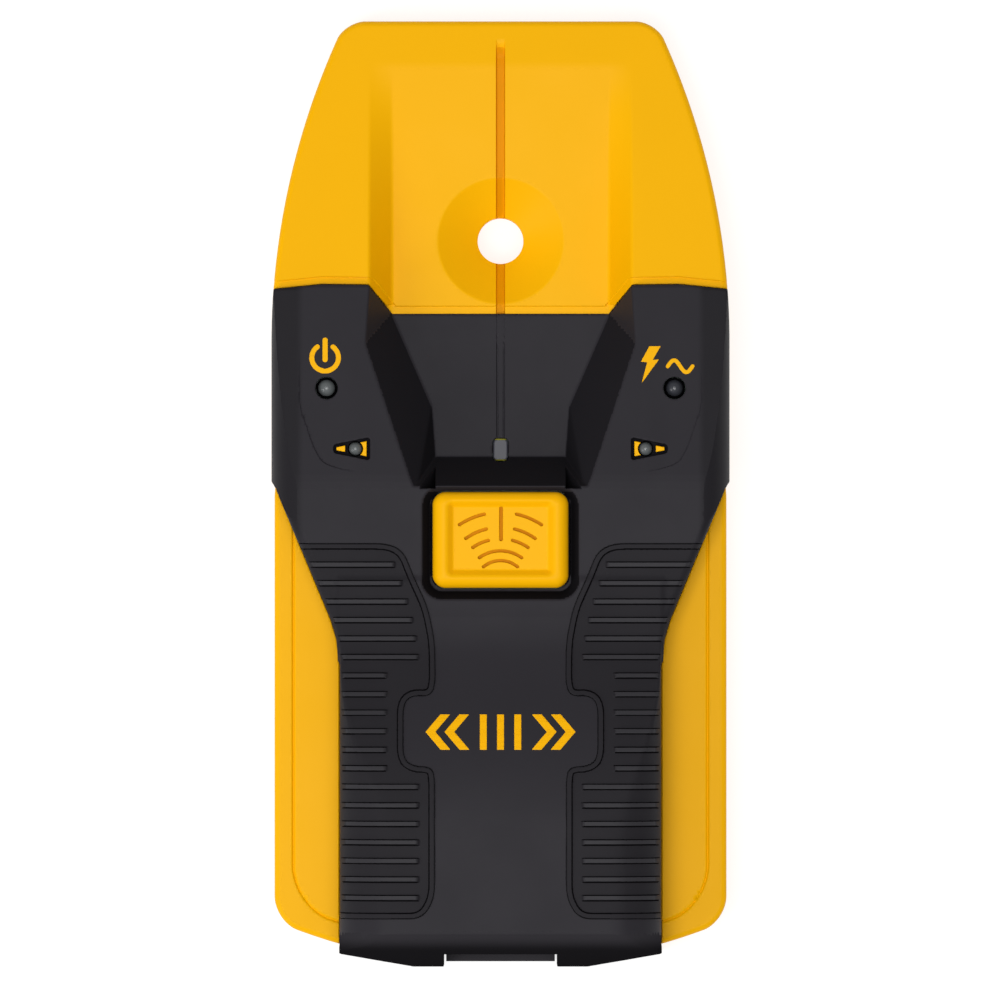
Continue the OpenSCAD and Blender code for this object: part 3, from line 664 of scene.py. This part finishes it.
def shade(mesh, field):
    """Shades each corner of each face with the field's own direction just inside that face."""
    points = read(mesh.vertices, "co", np.float32, 3).astype(float) / MM
    centres = read(mesh.polygons, "center", np.float32, 3).astype(float) / MM
    flat = read(mesh.polygons, "normal", np.float32, 3).astype(float)
    sizes = read(mesh.polygons, "loop_total", np.int32)
    face = np.repeat(np.arange(len(sizes)), sizes)
    corner = points[read(mesh.loops, "vertex_index", np.int32)]
    way = centres[face] - corner
    length = np.maximum(np.linalg.norm(way, axis=1, keepdims=True), 1e-9)
    normals = directions(field, corner + way * np.minimum(0.35, 0.12 / length))
    wrong = (normals * flat[face]).sum(1) < 0.35
    normals[wrong] = flat[face][wrong]
    mesh.polygons.foreach_set("use_smooth", np.ones(len(sizes), bool))
    mesh.normals_split_custom_set(normals.tolist())


def keep_inside(mesh):
    """Holds a mesh inside the CAD's own box."""
    low, high = np.array(cad_bounds, np.float32)
    points = read(mesh.vertices, "co", np.float32, 3)
    mesh.vertices.foreach_set("co", np.clip(points, low, high).ravel())
    mesh.update()


def moulded(name, field, xs, ys, zs, triangles=150000):
    """A piece with the field's own surface, thinned where it is flat."""
    vertices, quads = surface(field, xs, ys, zs)
    mesh = quad_mesh(name, vertices, quads)
    obj = add_object(name, mesh)
    if 2 * len(quads) > triangles:
        thin = obj.modifiers.new("thin", "DECIMATE")
        thin.ratio = triangles / (2 * len(quads))
        done = bpy.data.meshes.new_from_object(obj.evaluated_get(bpy.context.evaluated_depsgraph_get()))
        obj.modifiers.clear()
        obj.data = done
        bpy.data.meshes.remove(mesh)
        mesh = done
        mesh.name = name
    keep_inside(mesh)
    shade(mesh, field)
    return obj


# ---------------------------------------------------------------- materials

def material(name, colour, roughness, specular=0.4, grain=0.0, grain_size=0.15, metallic=0.0, mottle=0.0):
    """A moulded plastic or a metal: fine grain in its surface, and a slightly uneven colour and shine."""
    m = bpy.data.materials.new(name)
    m.use_nodes = True
    nodes, links = m.node_tree.nodes, m.node_tree.links
    shader = nodes["Principled BSDF"]
    shader.inputs["Base Color"].default_value = (*colour, 1)
    shader.inputs["Metallic"].default_value = metallic
    shader.inputs["Specular IOR Level"].default_value = specular
    place = nodes.new("ShaderNodeTexCoord")
    broad = nodes.new("ShaderNodeTexNoise")
    broad.inputs["Scale"].default_value = 90
    broad.inputs["Detail"].default_value = 4
    links.new(place.outputs["Object"], broad.inputs["Vector"])
    spread = nodes.new("ShaderNodeMapRange")
    spread.inputs["To Min"].default_value = roughness - 0.04
    spread.inputs["To Max"].default_value = roughness + 0.06
    links.new(broad.outputs["Fac"], spread.inputs["Value"])
    links.new(spread.outputs["Result"], shader.inputs["Roughness"])
    if mottle:
        tint = nodes.new("ShaderNodeMixRGB")
        tint.inputs["Color1"].default_value = (*colour, 1)
        tint.inputs["Color2"].default_value = (*[c * (1 - mottle) for c in colour], 1)
        links.new(broad.outputs["Fac"], tint.inputs["Fac"])
        links.new(tint.outputs["Color"], shader.inputs["Base Color"])
    if grain:
        fine = nodes.new("ShaderNodeTexNoise")
        fine.inputs["Scale"].default_value = 1 / (grain_size * MM)
        fine.inputs["Detail"].default_value = 3
        links.new(place.outputs["Object"], fine.inputs["Vector"])
        bump = nodes.new("ShaderNodeBump")
        bump.inputs["Strength"].default_value = grain
        bump.inputs["Distance"].default_value = 0.03 * MM
        links.new(fine.outputs["Fac"], bump.inputs["Height"])
        links.new(bump.outputs["Normal"], shader.inputs["Normal"])
    return m


def darken(m, axis, start, end, share):
    """Painted shade: scales a mottled material's colour down to a share of it, from start to end, on both
    sides of 0.
    """
    nodes, links = m.node_tree.nodes, m.node_tree.links
    colour = nodes["Principled BSDF"].inputs["Base Color"]
    place = nodes.new("ShaderNodeTexCoord")
    parts = nodes.new("ShaderNodeSeparateXYZ")
    links.new(place.outputs["Object"], parts.inputs["Vector"])
    distance = nodes.new("ShaderNodeMath")
    distance.operation = "ABSOLUTE"
    links.new(parts.outputs[axis], distance.inputs[0])
    level = nodes.new("ShaderNodeMapRange")
    level.interpolation_type = "SMOOTHSTEP"
    level.inputs["From Min"].default_value = start * MM
    level.inputs["From Max"].default_value = end * MM
    level.inputs["To Min"].default_value = 1
    level.inputs["To Max"].default_value = share
    links.new(distance.outputs["Value"], level.inputs["Value"])
    scaled = nodes.new("ShaderNodeVectorMath")
    scaled.operation = "SCALE"
    links.new(colour.links[0].from_socket, scaled.inputs[0])
    links.new(level.outputs["Result"], scaled.inputs["Scale"])
    links.new(scaled.outputs["Vector"], colour)
    return m


def resin(name, colour, roughness):
    """Smoke-grey lens resin. From outside it looks solid, so nothing is seen through it."""
    m = material(name, colour, roughness, 0.5, grain=0.2, mottle=0.15)
    m.node_tree.nodes["Principled BSDF"].inputs["IOR"].default_value = 1.5
    return m


def shaded_below(name, low, high, height, roughness):
    """Painted shade: matt and one colour up to a height, where a light sits down in its hole, and another
    colour with a shine above it.
    """
    m = resin(name, high, roughness)
    nodes, links = m.node_tree.nodes, m.node_tree.links
    place = nodes.new("ShaderNodeTexCoord")
    parts = nodes.new("ShaderNodeSeparateXYZ")
    links.new(place.outputs["Object"], parts.inputs["Vector"])
    above = nodes.new("ShaderNodeMath")
    above.operation = "GREATER_THAN"
    above.inputs[1].default_value = height * MM
    links.new(parts.outputs["Z"], above.inputs[0])
    tint = nodes.new("ShaderNodeMixRGB")
    tint.inputs["Color1"].default_value = (*low, 1)
    tint.inputs["Color2"].default_value = (*high, 1)
    links.new(above.outputs["Value"], tint.inputs["Fac"])
    shine = nodes.new("ShaderNodeMath")
    shine.operation = "MULTIPLY"
    shine.inputs[1].default_value = 0.4
    links.new(above.outputs["Value"], shine.inputs[0])
    shader = nodes["Principled BSDF"]
    links.new(tint.outputs["Color"], shader.inputs["Base Color"])
    links.new(shine.outputs["Value"], shader.inputs["Specular IOR Level"])
    return m


YELLOW_COLOUR = (0.96, 0.475, 0.0)
BLACK_COLOUR = (0.027, 0.025, 0.03)
YELLOW = material("yellow_abs", YELLOW_COLOUR, 0.45, 0.08, grain=0.2, mottle=0.03)
BLACK = material("black_abs", BLACK_COLOUR, 0.5, 0.08, grain=0.4, grain_size=0.2, mottle=0.12)
# Painted shade: the cover's black darkens past 34.2 mm from the middle, where its shoulders turn away from
# the light.
COVER = darken(material("cover_abs", BLACK_COLOUR, 0.5, 0.08, grain=0.4, grain_size=0.2, mottle=0.12),
               "X", 34.2, 35.8, 0.64)
# Painted shade on the heel: a matt black with no shine, darker towards its end, where it curves down away
# from the light.
HEEL = darken(material("heel_abs_painted_shade", (0.032, 0.03, 0.0345), 0.8, 0.0, grain=0.4, grain_size=0.2, mottle=0.12),
              "Y", 77.0, 79.8, 0.32)
RUBBER = material("grip_rubber", (0.021, 0.0195, 0.023), 0.6, 0.08, grain=0.5, grain_size=0.25, mottle=0.15)
INK = material("yellow_ink", YELLOW_COLOUR, 0.5, 0.1, grain=0.2, mottle=0.04)
CHIP = material("part_black", (0.02, 0.02, 0.021), 0.5, grain=0.4)
CERAMIC = material("part_grey", (0.32, 0.3, 0.27), 0.5, mottle=0.2)
BOARD = material("circuit_board", (0.012, 0.14, 0.045), 0.3, mottle=0.25)
COPPER = material("copper", (0.8, 0.4, 0.24), 0.3, metallic=1, mottle=0.15)
STEEL = material("steel", (0.62, 0.61, 0.58), 0.3, metallic=1, grain=0.3)
JACKET = material("battery_jacket", (0.09, 0.1, 0.12), 0.3, metallic=0.6, mottle=0.1)
WIRE_RED = material("wire_red", (0.5, 0.02, 0.015), 0.4, mottle=0.1)
WIRE_BLACK = material("wire_black", (0.02, 0.02, 0.02), 0.4, mottle=0.1)
FOAM = material("foam", (0.05, 0.05, 0.052), 0.9, grain=1.0, grain_size=0.5, mottle=0.3)
# Painted shade for the lights' flanges, which sit down in their holes.
DARK = (0.006, 0.006, 0.007)
GREY_LENS = (0.11, 0.12, 0.122)
LENS = shaded_below("light_lens", DARK, GREY_LENS, 21.9, 0.25)
LENS_AC = shaded_below("light_lens_ac", DARK, (0.035, 0.037, 0.045), 21.9, 0.25)
LENS_DARK = resin("light_lens_dark", (0.045, 0.045, 0.06), 0.5)
# Painted shade in the grooves: a darker amber for the button's marks and a paler one for the head's centre
# groove.
GROOVE = material("yellow_groove_shade", (0.72, 0.28, 0.0), 0.5, 0.05, mottle=0.1)
GROOVE_PALE = material("yellow_pale_groove_shade", (0.86, 0.37, 0.0), 0.5, 0.05, mottle=0.1)
SHADE = material("rubber_crease_shade", (0.006, 0.0055, 0.0065), 0.8, 0.0, grain=0.3, mottle=0.1)
# Painted shade for steep walls and hidden edges: a matt black darker than the cover.
MATT_SHADE = material("black_matt_painted_shade", (0.017, 0.016, 0.019), 0.8, 0.0, grain=0.3, grain_size=0.2, mottle=0.1)
DEEP = material("black_shade", (0.01, 0.0095, 0.0115), 0.8, 0.0, grain=0.3, grain_size=0.2, mottle=0.1)
# Painted highlight: the ribs' tops, a lighter black than the rubber round them.
RIB = material("rib_crest_painted_highlight", (0.035, 0.0335, 0.038), 0.5, 0.1, grain=0.4, grain_size=0.25, mottle=0.12)
LENS_RIM = material("light_guide_rim", (0.28, 0.26, 0.02), 0.35, mottle=0.1)


def dress(obj, look, slot, body, *nodes):
    """Gives a piece its look, the body it rides on and the CAD nodes it replaces; the slot is not used."""
    obj.data.materials.clear()
    obj.data.materials.append(look)
    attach(obj, body)
    if nodes:
        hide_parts(*nodes)
    return obj


def accent(obj, look, chosen):
    """Gives look to the faces that chosen picks by their centres (in millimetres) and directions."""
    obj.data.materials.append(look)
    centres = read(obj.data.polygons, "center", np.float32, 3).astype(float) / MM
    normals = read(obj.data.polygons, "normal", np.float32, 3).astype(float)
    index = read(obj.data.polygons, "material_index", np.int32)
    index[chosen(*centres.T, normals)] = len(obj.data.materials) - 1
    obj.data.polygons.foreach_set("material_index", index)


# Which faces get a second look, by their centres in millimetres and their directions.

def in_centre_groove(x, y, z, n):
    beside = head_surface(x + 3 * np.sign(x), y)
    outside_hole = np.hypot(x, y - HOLE_Y) > HOLE_R + 0.05
    return (np.abs(x) < 0.76) & (y > BLACK_FRONT_Y) & (y < 78) & (z > 7) & (z < beside - 0.35) & outside_hole


def on_channel_wall(x, y, z, n):
    """The steep walls between the wings, without the facets that go on from the yellow head. They get painted
    shade.
    """
    near = np.abs(wing_channel(x, y, z)) < 0.1
    return near & (y > -1) & ((y < 18) | (np.abs(n[:, 1]) > 0.15)) & (n[:, 2] < 0.72)


def in_button_recess(x, y, z, n):
    beside = (np.abs(x) < RECESS_HALF + 0.6) & (y > RECESS_Y[0] - 0.6) & (y < RECESS_Y[1] - 1)
    return beside & (z > RECESS_FLOOR_Z - 0.3) & (n[:, 2] < 0.8)


def on_rib_crest(x, y, z, n):
    return (cover_skin(x, y, z) > 0.2) & (n[:, 2] > 0.5) & (pad_half(np.abs(x), y) < -1.2)


def in_pad_crease(x, y, z, n):
    """Painted shade on the sides of the ribs, and on a thin line along the inside of the band round the pad.
    """
    line = np.abs(pad_half(np.abs(x), y) + 1.06) < 0.13
    return (cover_skin(x, y, z) > -0.1) & ((np.abs(n[:, 1]) > 0.5) | line)


def in_button_mark(x, y, z, n):
    depth = BUTTON_TOP_Z - z
    return (depth > 1.1) & (depth < 2) & (np.abs(x) < 8.2) & (np.abs(y - BUTTON_Y) < 6.2)


# ---------------------------------------------------------------- the moulded pieces

front = moulded(
    "front_shell", housing,
    mirrored(steps(0.03, 40.6, 0.6, (
        (0, 1.0, 0.14), (18.5, 23.4, 0.35), (35.6, 36.8, 0.16), (38, 40.4, 0.35)))),
    steps(-81.6, 83.2, 0.6, ((-76, -71, 0.3), (30.8, 38.4, 0.22), (80.5, 83, 0.35))),
    steps(-0.4, 21, 0.5, ((12, 15.2, 0.2),)), 150000)
dress(front, YELLOW, "yellow_plastic", "case", "front_housing")
# Painted shade in the centre groove.
accent(front, GROOVE_PALE, in_centre_groove)

grip = moulded(
    "grip_shell", cover,
    mirrored(steps(0.03, 40.6, 0.5, ((0, 1.0, 0.12), (10.9, 17.3, 0.25), (22.4, 32.6, 0.28)))),
    steps(-83.2, 37.4, 0.5, (
        (-83, -80, 0.25), (-75, -72, 0.3), (-50, -33, 0.3), (-20, 10, 0.3), (16, 21, 0.3))),
    steps(0.2, 35.6, 0.5, ((12.9, 13.5, 0.15), (23, 26, 0.35))), 185000)
dress(grip, COVER, "black_plastic", "case", "grip_cover")
# Painted shade on the channel's steep walls.
accent(grip, MATT_SHADE, on_channel_wall)
accent(grip, DEEP, in_button_recess)
# Painted shade on the heel's face.
accent(grip, HEEL, lambda x, y, z, n: y < HEEL_FACE_Y)

pad_x, pad_y, pad_z = steps(10.8, 36.4, 0.3), steps(-74.8, -8.1, 0.16), steps(15.7, 35.7, 0.28)
for name, xs in (("right", pad_x), ("left", -pad_x[::-1])):
    grip_pad = moulded("grip_pad_" + name[0], pad, xs, pad_y, pad_z, 130000)
    dress(grip_pad, RUBBER, "grip_rubber", "case", "grip_pad_" + name)
    # Painted highlight on the tops of the ribs.
    accent(grip_pad, RIB, on_rib_crest)
    accent(grip_pad, SHADE, in_pad_crease)

cap = moulded(
    "button_cap", button, mirrored(steps(0.03, 13.6, 0.4, ((0, 9.8, 0.16), (10.2, 12.2, 0.22)))),
    steps(-18, 0.8, 0.16), steps(20.3, 26.7, 0.4, ((24.8, 26.6, 0.15),)), 80000)
dress(cap, YELLOW, "yellow_plastic", "button", "power_button")
# Painted shade on the cap's flange, which is seen through the gap round the cap.
accent(cap, MATT_SHADE, lambda x, y, z, n: z < 22.3)
# Painted shade in the button's marks.
accent(cap, GROOVE, in_button_mark)

back = moulded(
    "rear_shell", rear, mirrored(steps(0.03, 40.6, 0.6, ((12.9, 15.2, 0.3),))),
    steps(-81.4, 83.2, 0.6, ((-76, -71, 0.35),)), steps(-0.3, 12.4, 0.35), 80000)
dress(back, YELLOW, "yellow_plastic", "case", "rear_cover")

window = moulded(
    "lens_window", lens, steps(-1.6, 1.6, 0.1), steps(5.5, 9.9, 0.1), steps(10.6, 13.9, 0.15), 9000)
dress(window, LENS_DARK, "light_lens", "case", "centre_lens")
accent(window, LENS_RIM, lambda x, y, z, n: np.abs(y - LENS_Y) > 1.7)

insert_x, insert_y, insert_z = steps(21.4, 29.8, 0.11), steps(4.6, 11, 0.11), steps(21, 24.6, 0.2)
for name, xs in (("right", insert_x), ("left", -insert_x[::-1])):
    insert = moulded("arrow_" + name[0], arrow_insert, xs, insert_y, insert_z, 16000)
    dress(insert, YELLOW, "yellow_plastic", "case", "arrow_" + name)
    # Painted shade on the arrows' sides and flanges below their tops.
    accent(insert, MATT_SHADE, lambda x, y, z, n: z < ARROW_TOP_Z - 0.3)


# ---------------------------------------------------------------- marks printed on the cover

def printed(name, mark, x_range, y_range, z_range):
    """Ink on the cover's skin in the shape of a mark."""
    def field(x, y, z):
        return round_and(mark(x, y), np.abs(cover_face(x, y, z)) - 0.05, 0.03)
    obj = moulded(name, field, steps(*x_range, 0.13), steps(*y_range, 0.13), steps(*z_range, 0.09), 30000)
    return dress(obj, INK, "yellow_plastic", "case")


def power_mark(x, y):
    """A ring that is open at the top, with an upright bar."""
    ring = arc_line(x, -y, (-30.6, -23.7), 2.32, 0, 180 - 36, 0.43)
    return np.minimum(ring, segment(x, y, (-30.6, 23.35), (-30.6, 26.75), 0.45))


BOLT = ((25.97, 25.7), (24.5, 23.0), (25.6, 22.9), (24.6, 19.2), (27.65, 23.4), (26.55, 23.3), (27.95, 25.7))


def alternating_mark(x, y):
    """A lightning bolt and a sine wave."""
    mark = polygon_distance(BOLT, x, y)
    wave = [(31.35 + 4.3 * (i / 14 - 0.5), 22.2 + 1.05 * math.sin(2 * math.pi * i / 14)) for i in range(15)]
    for a, b in zip(wave, wave[1:]):
        mark = np.minimum(mark, segment(x, y, a, b, 0.34))
    return mark


def stud_mark(x, y):
    """Upright studs between chevrons."""
    v = y + 41.5
    shape = np.minimum(np.abs(np.abs(x) - 3.0), np.abs(x)) - 0.6
    shape = np.maximum(shape, np.abs(v) - 3.1)
    for start in (7.3, 10.6):
        chevron = (np.abs(np.abs(x) - start - 1.6 + np.abs(v) * 0.85) - 0.85) * 0.76
        shape = np.minimum(shape, np.maximum(chevron, np.abs(v) - 3.1))
    return shape


printed("power_mark", power_mark, (-34, -27.2), (20.3, 27.9), (20.8, 24))
printed("alternating_mark", alternating_mark, (24, 34.4), (18.8, 26.2), (20.8, 24))
printed("stud_mark", stud_mark, (-14, 14), (-45, -38), (29, 34.9))

# ---------------------------------------------------------------- the CAD's own pieces

LOOKS = {
    "switch_body": CHIP, "switch_plunger": CHIP, "board_link": CHIP, "controller_chip": CHIP, "buzzer": CHIP,
    "battery_snap": CHIP, "main_board": BOARD, "display_board": BOARD, "sensor_plates": COPPER,
    "board_components": CERAMIC, "led_power": LENS, "led_left": LENS, "led_right": LENS, "led_centre": LENS,
    "led_ac": LENS_AC, "battery": JACKET, "battery_terminals": STEEL, "case_screws": STEEL,
    "board_screws": STEEL, "display_screws": STEEL, "lead_red": WIRE_RED, "lead_black": WIRE_BLACK,
    "battery_door": BLACK, "door_pad": FOAM,
}
SOFT_EDGES = {
    "battery_door": 0.25, "battery": 0.4, "case_screws": 0.08, "battery_snap": 0.3, "door_pad": 0.3,
    "buzzer": 0.15, "controller_chip": 0.1,
}

for node, look in LOOKS.items():
    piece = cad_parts[node]
    piece.data.materials.clear()
    piece.data.materials.append(look)
    if node in SOFT_EDGES:
        bevel = piece.modifiers.new("edges", "BEVEL")
        bevel.width = SOFT_EDGES[node] * MM
        bevel.segments = 3
        bevel.limit_method = "ANGLE"
        bevel.angle_limit = math.radians(40)

# ---------------------------------------------------------------- floor, lights and camera

# In metres from here on, unless a name ends in _MM.
FLOOR_HALF_SIDE = 3
FLOOR_DROP = 0.0002
sheet = bpy.data.meshes.new("floor")
corners = [(i * FLOOR_HALF_SIDE, j * FLOOR_HALF_SIDE, 0) for i, j in ((-1, -1), (1, -1), (1, 1), (-1, 1))]
sheet.from_pydata(corners, [], [(0, 1, 2, 3)])
floor = add_object("floor", sheet)
floor.location.z = -FLOOR_DROP
paper = material("floor", (0.3, 0.3, 0.3), 0.8, 0.1)
paper.node_tree.nodes["Principled BSDF"].inputs["Emission Color"].default_value = (1, 1, 1, 1)
paper.node_tree.nodes["Principled BSDF"].inputs["Emission Strength"].default_value = 0.8
sheet.materials.append(paper)
floor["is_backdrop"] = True

world = bpy.data.worlds.new("studio")
bpy.context.scene.world = world
world.use_nodes = True
world.node_tree.nodes["Background"].inputs["Color"].default_value = (1, 1, 1, 1)
world.node_tree.nodes["Background"].inputs["Strength"].default_value = 0.3


def softbox(name, place, size, power):
    """A rectangular light that faces the part."""
    light = bpy.data.lights.new(name, "AREA")
    light.shape = "RECTANGLE"
    light.size, light.size_y = size
    light.energy = power
    obj = bpy.data.objects.new(name, light)
    obj.location = place
    obj.rotation_euler = (-Vector(place)).to_track_quat("-Z", "Y").to_euler()
    bpy.context.scene.collection.objects.link(obj)


softbox("overhead", (-0.08, -0.12, 1.3), (0.6, 0.6), 10.5)
softbox("side", (-0.9, -0.5, 0.7), (0.5, 0.5), 4)

# A long lens from far away, because the photo shows almost no perspective.
DISTANCE = 4
VIEW_WIDTH_MM = 174.67
SENSOR_WIDTH_MM = 36
lens_data = bpy.data.cameras.new("camera")
lens_data.sensor_width = SENSOR_WIDTH_MM
lens_data.lens = SENSOR_WIDTH_MM * DISTANCE / (VIEW_WIDTH_MM * MM)
viewer = bpy.data.objects.new("camera", lens_data)
viewer.location = (-0.09 * MM, -1.14 * MM, DISTANCE + 0.018)
bpy.context.scene.collection.objects.link(viewer)
bpy.context.scene.camera = viewer
bpy.context.scene.view_settings.view_transform = "Standard"

[[list(map(float, corner)) for corner in box] for box in (cad_bounds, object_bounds())]
